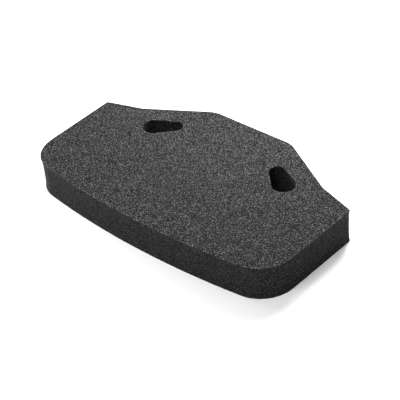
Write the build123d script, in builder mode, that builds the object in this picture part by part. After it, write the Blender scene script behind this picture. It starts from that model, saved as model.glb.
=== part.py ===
"""Protector pad die-cut from one sheet of dark grey open-cell foam.

Frame: millimetres, origin under the middle of the pad's bounding box, on its lower face.
+X runs across the pad's width, +Y towards its stepped rear edge, +Z up through the sheet.
"""

import math
import os

from build123d import *

# Sheet and overall size
pad_width = 175.0  # across the two sharp wing corners, where the pad is widest
pad_depth = 99.0  # from the middle of the bowed front edge to the back edge
sheet_thickness = 20.0

# Front edge and sides
front_bow_radius = 520.0
front_corner_radius = 20.5
side_lean = 1.5  # degrees that each side leans in towards the front

# Stepped rear edge, right-hand corners; the left-hand ones mirror them
wing_corner = (pad_width / 2, 21.0)
step_corner = (65.0, 28.0)
back_corner = (27.5, pad_depth / 2)
wing_corner_radius = 1.0
step_corner_radius = 3.0
back_corner_radius = 14.0

# Tapered post slots, one each side: the hull of a wide and a narrow circle
slot_wide_centre = (46.8, 18.3)
slot_wide_radius = 6.65
slot_narrow_centre = (36.8, 25.3)
slot_narrow_radius = 4.55

# Die-cut wall: the foam springs back after the cut, which leaves a shallow waist between two lips
waist_depth = 0.6
waist_height = 8.0  # the upright middle of the wall; above and below it the lips flare out
cutter_overhang = 1.0


def corners_at(sketch, y):
    """The sketch's corners that lie at one distance along Y."""
    return sketch.vertices().filter_by_position(Axis.Y, y - 0.1, y + 0.1)


# Outline of the pad. The blank reaches in front of the bow, whose circle then trims it.
front_y = -pad_depth / 2
blank_front_y = front_y - 10
blank_front_x = wing_corner[0] - (wing_corner[1] - blank_front_y) * math.tan(math.radians(side_lean))

with BuildSketch() as outline:
    with BuildLine():
        Polyline(
            (0, blank_front_y),
            (blank_front_x, blank_front_y),
            wing_corner,
            step_corner,
            back_corner,
            (0, back_corner[1]),
        )
        mirror(about=Plane.YZ)
    make_face()
    with Locations((0, front_y + front_bow_radius)):
        Circle(front_bow_radius, mode=Mode.INTERSECT)
    fillet(outline.vertices().group_by(Axis.Y)[0], radius=front_corner_radius)
    fillet(corners_at(outline, wing_corner[1]), radius=wing_corner_radius)
    fillet(corners_at(outline, step_corner[1]), radius=step_corner_radius)
    fillet(corners_at(outline, back_corner[1]), radius=back_corner_radius)

# The two slots, seen from above.
with BuildSketch() as slots:
    with Locations(slot_wide_centre):
        Circle(slot_wide_radius)
    with Locations(slot_narrow_centre):
        Circle(slot_narrow_radius)
    make_hull()
    mirror(about=Plane.YZ)

# Section of the foam that the wall loses, drawn across the middle of the back edge with the
# outside of the pad to the right. Each lip is an arc that leaves the upright waist smoothly and
# meets the pad's outline at the face.
lip_height = (sheet_thickness - waist_height) / 2
lip_radius = (lip_height**2 + waist_depth**2) / (2 * waist_depth)
wall_section = Plane(origin=(0, back_corner[1], 0), x_dir=(0, 1, 0), z_dir=(1, 0, 0))

with BuildSketch(wall_section) as wall_cut:
    with BuildLine():
        lower_lip = RadiusArc((0, 0), (-waist_depth, lip_height), lip_radius)
        waist = Line(lower_lip @ 1, (-waist_depth, lip_height + waist_height))
        upper_lip = RadiusArc(waist @ 1, (0, sheet_thickness), lip_radius)
        Polyline(
            upper_lip @ 1,
            (cutter_overhang, sheet_thickness),
            (cutter_overhang, 0),
            lower_lip @ 0,
        )
    make_face()

# The cutter follows the whole outline.
with BuildPart() as wall_cutter:
    sweep(sections=wall_cut.sketch, path=outline.sketch.face().outer_wire())

# The pad: the sheet cut to the outline, its wall drawn in to the waist, and the slots through it.
with BuildPart() as foam_pad:
    extrude(outline.sketch, amount=sheet_thickness)
    add(wall_cutter.part, mode=Mode.SUBTRACT)
    extrude(slots.sketch, amount=sheet_thickness, mode=Mode.SUBTRACT)

foam_pad.part.label = "foam_pad"

os.makedirs("parts", exist_ok=True)
export_step(foam_pad.part, "parts/foam_pad.step")
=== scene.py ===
"""Protector pad die-cut from open-cell foam sheet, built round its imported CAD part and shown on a
pale studio floor.

Every length is in metres in the part's own frame: +X across the pad, +Y towards its stepped rear
edge, +Z up. The panel in the 3D view's sidebar lists the steps in the order that main() runs them.
"""

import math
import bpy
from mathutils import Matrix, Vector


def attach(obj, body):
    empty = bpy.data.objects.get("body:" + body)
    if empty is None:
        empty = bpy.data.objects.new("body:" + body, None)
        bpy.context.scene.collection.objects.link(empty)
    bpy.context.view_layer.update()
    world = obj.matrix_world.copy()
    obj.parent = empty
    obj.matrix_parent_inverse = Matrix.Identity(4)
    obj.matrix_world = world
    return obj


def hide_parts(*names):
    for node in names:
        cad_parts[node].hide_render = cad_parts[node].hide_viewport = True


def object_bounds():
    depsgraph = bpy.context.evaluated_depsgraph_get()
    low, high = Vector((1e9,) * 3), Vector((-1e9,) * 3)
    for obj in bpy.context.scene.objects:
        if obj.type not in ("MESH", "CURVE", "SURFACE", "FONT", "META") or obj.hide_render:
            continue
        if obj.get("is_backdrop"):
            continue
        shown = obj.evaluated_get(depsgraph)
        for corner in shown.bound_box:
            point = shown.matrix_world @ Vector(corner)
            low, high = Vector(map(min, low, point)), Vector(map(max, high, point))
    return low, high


bl_info = {
    "name": "Die-cut foam pad",
    "version": (1, 0, 0),
    "blender": (4, 5, 0),
    "location": "View3D > Sidebar > Foam pad",
    "description": "Cuts a protector pad from open-cell foam and lights it on a pale floor",
    "category": "Object",
}

import bpy
from bpy.props import FloatProperty, FloatVectorProperty, IntProperty, PointerProperty
from mathutils import Quaternion, Vector

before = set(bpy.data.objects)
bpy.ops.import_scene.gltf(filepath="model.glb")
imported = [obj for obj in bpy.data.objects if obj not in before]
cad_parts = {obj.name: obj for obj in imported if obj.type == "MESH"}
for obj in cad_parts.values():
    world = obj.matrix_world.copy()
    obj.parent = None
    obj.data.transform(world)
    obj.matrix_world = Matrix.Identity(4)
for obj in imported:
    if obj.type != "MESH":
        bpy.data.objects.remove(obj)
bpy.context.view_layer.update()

MM = 0.001
CAD_NODE = "foam_pad"
WELD_DISTANCE = 0.001 * MM  # points of the CAD node's triangles closer than this are one point


def srgb(hex_colour):
    """Linear red, green and blue of an sRGB hex colour such as "#4b4d4c"."""
    channels = [int(hex_colour[i : i + 2], 16) / 255 for i in (1, 3, 5)]
    return tuple(c / 12.92 if c <= 0.04045 else ((c + 0.055) / 1.055) ** 2.4 for c in channels)


# ------------------------------------------------------------------ settings


class FoamPadSettings(bpy.types.PropertyGroup):
    """Sizes and colours of the foam."""

    mesh_depth: IntProperty(
        name="Mesh depth",
        description="Halvings of the pad's length that set the mesh step; 8 makes it 0.7 mm",
        default=8,
        min=6,
        max=9,
    )
    cell_size: FloatProperty(
        name="Cell size",
        description="Distance between neighbouring cells, as coarse as fine foam needs to show",
        default=0.55 * MM,
        precision=5,
        subtype="DISTANCE",
        unit="LENGTH",
    )
    nick_depth: FloatProperty(
        name="Nick depth",
        description="How far torn cells stray from the clean cut, in all",
        default=0.16 * MM,
        precision=5,
        subtype="DISTANCE",
        unit="LENGTH",
    )
    # Painted highlight: struts that catch the light are painted pale on the cut face.
    strut_highlight_colour: FloatVectorProperty(
        name="Strut highlight colour",
        description="Foam struts that catch the light on the cut face",
        default=srgb("#686968"),
        subtype="COLOR",
    )
    face_colour: FloatVectorProperty(
        name="Face colour",
        description="Charcoal of most cells, between the struts and the pits",
        default=srgb("#141414"),
        subtype="COLOR",
    )
    # Painted shade: the bottom of an opened cell is painted near black.
    pit_shade_colour: FloatVectorProperty(
        name="Pit shade colour",
        description="Bottom of an opened cell",
        default=srgb("#020202"),
        subtype="COLOR",
    )
    # Painted shade: the walls are painted darker and less flecked than the sliced face, as shade on
    # the sides.
    wall_shaded_colour: FloatVectorProperty(
        name="Wall shaded colour",
        description="Die-cut wall, where the steel rule dragged the struts flat",
        default=srgb("#28282a"),
        subtype="COLOR",
    )
    # Painted highlight: the foam is painted paler along the rims, where an edge catches the light.
    rim_highlight_gain: FloatProperty(
        name="Rim highlight gain",
        description="How much paler the worn struts are along the rim of a cut face",
        default=0.7,
    )


class StageSettings(bpy.types.PropertyGroup):
    """The floor, the lights and the camera."""

    floor_size: FloatProperty(
        name="Floor size",
        description="Length of the floor's side",
        default=40.0,
        subtype="DISTANCE",
        unit="LENGTH",
    )
    floor_colour: FloatVectorProperty(
        name="Floor colour",
        description="Matt white studio floor",
        default=srgb("#f4f4f4"),
        subtype="COLOR",
    )
    near_glow: FloatProperty(
        name="Near glow",
        description="Light given off by the floor round the pad, which softens its shadow",
        default=0.2,
    )
    far_glow: FloatProperty(
        name="Far glow",
        description="Light given off by the floor away from the pad, which keeps the backdrop pale",
        default=0.95,
    )
    camera_azimuth: FloatProperty(
        name="Camera azimuth",
        description="0 looks along +Y, and 90 along -X",
        default=math.radians(45.0),
        subtype="ANGLE",
        unit="ROTATION",
    )
    camera_elevation: FloatProperty(
        name="Camera elevation",
        description="Angle of the camera above the floor",
        default=math.radians(37.75),
        subtype="ANGLE",
        unit="ROTATION",
    )
    camera_roll: FloatProperty(
        name="Camera roll",
        description="Clockwise turn of the camera about its line of sight",
        default=math.radians(5.7),
        subtype="ANGLE",
        unit="ROTATION",
    )
    camera_distance: FloatProperty(
        name="Camera distance",
        description="Distance from the camera to the point that it aims at",
        default=0.639,
        subtype="DISTANCE",
        unit="LENGTH",
    )


# --------------------------------------------------------------- mesh helpers


def pick(piece):
    """Makes a piece the only selected object, and the active one."""
    bpy.ops.object.select_all(action="DESELECT")
    piece.select_set(True)
    bpy.context.view_layer.objects.active = piece


def apply_modifier(piece, kind, **settings):
    """Adds a modifier to a piece with these settings, and applies it."""
    pick(piece)
    bpy.ops.object.modifier_add(type=kind)
    modifier = piece.modifiers[-1]
    for name, value in settings.items():
        setattr(modifier, name, value)
    bpy.ops.object.modifier_apply(modifier=modifier.name)


def copy_of_cad_solid(node, name):
    """A new piece with a CAD node's exact shape, its loose triangles merged into one skin."""
    piece = bpy.data.objects.new(name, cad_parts[node].data.copy())
    bpy.context.scene.collection.objects.link(piece)
    pick(piece)
    bpy.ops.object.mode_set(mode="EDIT")
    bpy.ops.mesh.select_all(action="SELECT")
    bpy.ops.mesh.remove_doubles(threshold=WELD_DISTANCE)
    bpy.ops.object.mode_set(mode="OBJECT")
    piece.data.materials.clear()
    return piece


# ------------------------------------------------------------ material helper


def add_node(tree, kind, inputs=(), **settings):
    """Adds a shader node with settings, and sets or links its inputs by name or number."""
    node = tree.nodes.new(kind)
    for name, value in settings.items():
        setattr(node, name, value)
    for socket, value in dict(inputs).items():
        if isinstance(value, bpy.types.NodeSocket):
            tree.links.new(value, node.inputs[socket])
        else:
            node.inputs[socket].default_value = value
    return node


def new_material(name):
    """An empty node material, and its tree."""
    material = bpy.data.materials.new(name)
    material.use_nodes = True
    material.node_tree.nodes.clear()
    return material, material.node_tree


def ramp(tree, factor, *stops):
    """A colour ramp through (place, colour) stops."""
    node = add_node(tree, "ShaderNodeValToRGB", {0: factor})
    elements = node.color_ramp.elements
    while len(elements) < len(stops):
        elements.new(0.5)
    for element, (place, colour) in zip(elements, stops):
        element.position = place
        element.color = (*colour, 1.0)
    return node.outputs["Color"]


# ------------------------------------------------------------------ materials


TONE_SHARE = 0.2  # how much of a cell's painted shade and highlight is its own chance tone, which paints some pits deeper than others, the rest being its pit
FACE_STOPS = (0.32, 0.54, 0.84)  # places on the ramp of the painted shade in the pits, of the foam's own charcoal on most cells and of the painted highlight on the struts, on a sliced face
WALL_STOPS = (0.32, 0.78)  # places on the ramp of the painted shade in the pits and of the painted highlight on the struts, on a die-cut wall
WALL_STRUT_HIGHLIGHT_GAIN = 2.2  # how much paler the painted highlight on the wall's struts is than the wall as a whole
# Painted shade at the bottom of a pit on a die-cut wall.
WALL_PIT_SHADE = (0.0, 0.0, 0.0)
FACE_RELIEF = 0.1 * MM  # depth of the pits on a sliced face
WALL_RELIEF = 0.05 * MM  # depth of the pits on a wall, where the rule pressed the struts flat


def cell_pattern(tree, cell_size):
    """Sockets of the foam's cells: how pale each point is painted, from painted shade in a pit's
    middle out to painted highlights on the struts, and how far it stands above the pit."""
    place = add_node(tree, "ShaderNodeTexCoord").outputs["Object"]
    cells = add_node(
        tree,
        "ShaderNodeTexVoronoi",
        {"Vector": place, "Scale": 1 / cell_size, "Randomness": 1.0},
        feature="F1",
    )
    tone = add_node(tree, "ShaderNodeSeparateColor", {0: cells.outputs["Color"]}).outputs[0]
    share = add_node(tree, "ShaderNodeMath", {0: tone, 1: TONE_SHARE}, operation="MULTIPLY")
    cell_shade_and_highlight = add_node(
        tree,
        "ShaderNodeMath",
        {0: cells.outputs["Distance"], 1: 1 - TONE_SHARE, 2: share.outputs[0]},
        operation="MULTIPLY_ADD",
    )
    return cell_shade_and_highlight.outputs[0], cells.outputs["Distance"]


def matt_surface(tree, colour, height, relief):
    """A matt foam surface of this colour, with cells sunk by the relief."""
    bump = add_node(
        tree,
        "ShaderNodeBump",
        {"Strength": 1.0, "Distance": relief, "Height": height},
    )
    shader = add_node(
        tree,
        "ShaderNodeBsdfPrincipled",
        {"Base Color": colour, "Roughness": 0.9, "IOR": 1.45, "Normal": bump.outputs[0]},
    )
    shader.inputs["Specular IOR Level"].default_value = 0.1
    add_node(tree, "ShaderNodeOutputMaterial", {"Surface": shader.outputs[0]})


def painted_rim_highlight(tree, colour, gain):
    """The same colour, paler by this gain along the rims: a painted highlight where the edge
    catches the light.
    """
    rim = add_node(tree, "ShaderNodeAttribute", attribute_name="rim").outputs["Fac"]
    scale = add_node(
        tree,
        "ShaderNodeMath",
        {0: rim, 1: gain, 2: 1.0},
        operation="MULTIPLY_ADD",
    )
    lit = add_node(
        tree,
        "ShaderNodeVectorMath",
        {0: colour, "Scale": scale.outputs[0]},
        operation="SCALE",
    )
    return lit.outputs[0]


def cut_face_foam(settings):
    """Open-cell polyurethane foam, sliced: a matt charcoal face, peppered with painted shade in its
    opened cells and painted highlights on its struts, and a painted highlight along its rim."""
    material, tree = new_material("polyurethane_foam_sliced")
    cell_shade_and_highlight, height = cell_pattern(tree, settings.cell_size)
    shades = (settings.pit_shade_colour, settings.face_colour, settings.strut_highlight_colour)
    colour = ramp(tree, cell_shade_and_highlight, *zip(FACE_STOPS, shades))
    matt_surface(tree, painted_rim_highlight(tree, colour, settings.rim_highlight_gain), height, FACE_RELIEF)
    return material


def die_cut_wall_foam(settings):
    """The same foam where a steel rule cut it: struts dragged flat, so the wall is smoother; it is
    painted darker and only faintly flecked as shade on the sides, with painted shade in its pits
    and painted highlights on its struts."""
    material, tree = new_material("polyurethane_foam_die_cut")
    cell_shade_and_highlight, height = cell_pattern(tree, settings.cell_size)
    struts = tuple(c * WALL_STRUT_HIGHLIGHT_GAIN for c in settings.wall_shaded_colour)
    colour = ramp(tree, cell_shade_and_highlight, *zip(WALL_STOPS, (WALL_PIT_SHADE, struts)))
    matt_surface(tree, painted_rim_highlight(tree, colour, settings.rim_highlight_gain), height, WALL_RELIEF)
    return material


# ------------------------------------------------------------------ operators

FACE_NORMAL = 0.7  # a mesh face that looks up or down by more than this belongs to a sliced face
RIM_ANGLE = math.radians(60)  # an edge that turns by more than this is a rim of the cut
TEAR_SPAN = 2.4  # cells across one torn patch


def mark_rims(pad):
    """Keeps the rims crisp in the shading, and marks the points on them for the painted rim
    highlight.
    """
    pick(pad)
    bpy.ops.object.mode_set(mode="EDIT")
    bpy.ops.mesh.select_all(action="DESELECT")
    bpy.ops.mesh.select_mode(type="EDGE")
    bpy.ops.mesh.edges_select_sharp(sharpness=RIM_ANGLE)
    bpy.ops.mesh.mark_sharp()
    bpy.ops.object.mode_set(mode="OBJECT")
    rim = pad.data.attributes.new("rim", "FLOAT", "POINT")
    rim.data.foreach_set("value", [float(vertex.select) for vertex in pad.data.vertices])


def lay_out_skin(pad):
    """Lays the clean-cut faces out flat in the pad's own UV map, before any cell is nicked."""
    pad.data.uv_layers.new(name="OFBake")
    bpy.ops.object.mode_set(mode="EDIT")
    bpy.ops.mesh.select_all(action="SELECT")
    bpy.ops.uv.smart_project(angle_limit=1.15, island_margin=0.004, scale_to_bounds=True)
    bpy.ops.object.mode_set(mode="OBJECT")


def nick_cells(pad, settings):
    """Moves the skin off its clean cut by torn cells, a few of them at a time."""
    texture = bpy.data.textures.new("torn_cells", "CLOUDS")
    texture.noise_scale = TEAR_SPAN * settings.cell_size
    texture.noise_depth = 1
    apply_modifier(
        pad,
        "DISPLACE",
        texture=texture,
        texture_coords="LOCAL",
        strength=settings.nick_depth,
        mid_level=0.5,
    )


class FOAMPAD_OT_cut_pad(bpy.types.Operator):
    """Cut the pad from the foam sheet and open the cells of its faces"""

    bl_idname = "foam_pad.cut_pad"
    bl_label = "Cut the pad"

    def execute(self, context):
        settings = context.scene.foam_pad
        pad = copy_of_cad_solid(CAD_NODE, "die_cut_foam_pad")
        apply_modifier(
            pad,
            "REMESH",
            mode="SHARP",
            octree_depth=settings.mesh_depth,
            scale=0.99,
            sharpness=1.0,
            use_remove_disconnected=False,
        )
        pad.data.materials.append(cut_face_foam(settings))
        pad.data.materials.append(die_cut_wall_foam(settings))
        for face in pad.data.polygons:
            face.material_index = 0 if abs(face.normal.z) > FACE_NORMAL else 1
        bpy.ops.object.shade_smooth()
        mark_rims(pad)
        lay_out_skin(pad)
        nick_cells(pad, settings)
        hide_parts(CAD_NODE)
        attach(pad, "root")
        return {"FINISHED"}


FLOOR_CLEARANCE = 0.02 * MM  # keeps the floor just clear of the lowest torn cell
GLOW_START = 0.25  # metres from the pad's middle at which the floor's glow starts to grow
GLOW_FULL = 0.9  # metres at which it has reached its far strength


class FOAMPAD_OT_stage(bpy.types.Operator):
    """Set up the floor, the studio light and the camera"""

    bl_idname = "foam_pad.stage"
    bl_label = "Set the stage"

    def execute(self, context):
        settings = context.scene.foam_pad_stage
        bpy.ops.object.select_all(action="DESELECT")
        ground = Vector((0.0, 0.0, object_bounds()[0][2] - FLOOR_CLEARANCE))
        bpy.ops.mesh.primitive_plane_add(size=settings.floor_size, location=ground)
        floor = context.object
        floor.name = "studio_floor"
        floor.data.materials.append(floor_paper(settings))
        floor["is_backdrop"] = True
        add_lights()
        add_camera(settings)
        return {"FINISHED"}


def floor_paper(settings):
    """Matt white background paper on a backlit table, which shows no grain and only a faint soft
    shadow, and stays as pale far away as it is round the pad."""
    material, tree = new_material("background_paper_matt")
    place = add_node(tree, "ShaderNodeTexCoord").outputs["Object"]
    distance = add_node(tree, "ShaderNodeVectorMath", {0: place}, operation="LENGTH")
    glow = add_node(
        tree,
        "ShaderNodeMapRange",
        {
            "Value": distance.outputs["Value"],
            "From Min": GLOW_START,
            "From Max": GLOW_FULL,
            "To Min": settings.near_glow,
            "To Max": settings.far_glow,
        },
    )
    shader = add_node(
        tree,
        "ShaderNodeBsdfPrincipled",
        {
            "Base Color": (*settings.floor_colour, 1.0),
            "Roughness": 0.9,
            "Specular IOR Level": 0.0,
            "Emission Color": (1.0, 1.0, 1.0, 1.0),
            "Emission Strength": glow.outputs[0],
        },
    )
    add_node(tree, "ShaderNodeOutputMaterial", {"Surface": shader.outputs[0]})
    return material


SOFTBOXES = (  # name, azimuth and elevation it shines from in degrees, metres away, watts
    ("left_softbox", 270, 12, 1.3, 36.0),
    ("rear_softbox", 183, 51, 0.26, 1.5),
    ("front_softbox", 355, 58, 1.3, 9.5),
)
SOFTBOX_SPREAD = 0.5  # side of a softbox, against its distance
FILL = 0.15  # even light from all round
HORIZON_FILL = 1.0  # light of the backdrop just above the floor's far edge
HORIZON_HEIGHT = 0.12  # sine of the elevation at which the backdrop has faded to the even light


def direction(azimuth, elevation):
    """The way to a point at this azimuth, 0 for -Y and 90 degrees for +X, and this elevation."""
    return Vector(
        (
            math.sin(azimuth) * math.cos(elevation),
            -math.cos(azimuth) * math.cos(elevation),
            math.sin(elevation),
        )
    )


def add_lights():
    """A low softbox on the left, one close above the pad's rear, one high in front, and even fill
    from a backdrop that is pale at the horizon."""
    world = bpy.data.worlds.new("studio_fill")
    world.use_nodes = True
    tree = world.node_tree
    place = add_node(tree, "ShaderNodeTexCoord").outputs["Generated"]
    fill = add_node(
        tree,
        "ShaderNodeMapRange",
        {
            "Value": add_node(tree, "ShaderNodeSeparateXYZ", {0: place}).outputs["Z"],
            "From Min": 0.0,
            "From Max": HORIZON_HEIGHT,
            "To Min": HORIZON_FILL,
            "To Max": FILL,
        },
        interpolation_type="SMOOTHSTEP",
    )
    tree.links.new(fill.outputs[0], tree.nodes["Background"].inputs["Strength"])
    tree.nodes["Background"].inputs["Color"].default_value = (1.0, 1.0, 1.0, 1.0)
    bpy.context.scene.world = world
    for name, azimuth, elevation, distance, watts in SOFTBOXES:
        way = direction(math.radians(azimuth), math.radians(elevation))
        bpy.ops.object.light_add(type="AREA", location=way * distance)
        light = bpy.context.object
        light.name = name
        light.data.shape = "SQUARE"
        light.data.size = distance * SOFTBOX_SPREAD
        light.data.energy = watts
        light.visible_camera = False
        light.rotation_mode = "QUATERNION"
        light.rotation_quaternion = (-way).to_track_quat("-Z", "Y")


CAMERA_AIM = Vector((1.2, 1.0, -0.2)) * MM
LENS = 105.0  # millimetres, as is the sensor's width
SENSOR_WIDTH = 36.0


def add_camera(settings):
    """A long lens aimed near the middle of the pad's underside, with no depth of field."""
    back = direction(settings.camera_azimuth, settings.camera_elevation)
    bpy.ops.object.camera_add(location=CAMERA_AIM + back * settings.camera_distance)
    camera = bpy.context.object
    camera.name = "product_camera"
    camera.rotation_mode = "QUATERNION"
    level = (-back).to_track_quat("-Z", "Y")
    camera.rotation_quaternion = level @ Quaternion((0, 0, 1), -settings.camera_roll)
    camera.data.lens = LENS
    camera.data.sensor_width = SENSOR_WIDTH
    bpy.context.scene.camera = camera
    bpy.context.scene.view_settings.view_transform = "Standard"


# ---------------------------------------------------- panel and registration


class FOAMPAD_PT_panel(bpy.types.Panel):
    """List the pad's sizes and the steps that build it"""

    bl_label = "Foam pad"
    bl_space_type = "VIEW_3D"
    bl_region_type = "UI"
    bl_category = "Foam pad"

    def draw(self, context):
        for group in (context.scene.foam_pad, context.scene.foam_pad_stage):
            for name in group.bl_rna.properties.keys():
                if name not in ("rna_type", "name"):
                    self.layout.prop(group, name)
        self.layout.operator(FOAMPAD_OT_cut_pad.bl_idname)
        self.layout.operator(FOAMPAD_OT_stage.bl_idname)


CLASSES = (
    FoamPadSettings,
    StageSettings,
    FOAMPAD_OT_cut_pad,
    FOAMPAD_OT_stage,
    FOAMPAD_PT_panel,
)


def register():
    for cls in CLASSES:
        bpy.utils.register_class(cls)
    bpy.types.Scene.foam_pad = PointerProperty(type=FoamPadSettings)
    bpy.types.Scene.foam_pad_stage = PointerProperty(type=StageSettings)


def unregister():
    del bpy.types.Scene.foam_pad_stage
    del bpy.types.Scene.foam_pad
    for cls in reversed(CLASSES):
        bpy.utils.unregister_class(cls)


def main():
    register()
    bpy.ops.foam_pad.cut_pad()
    bpy.ops.foam_pad.stage()


if __name__ == "__main__":
    main()
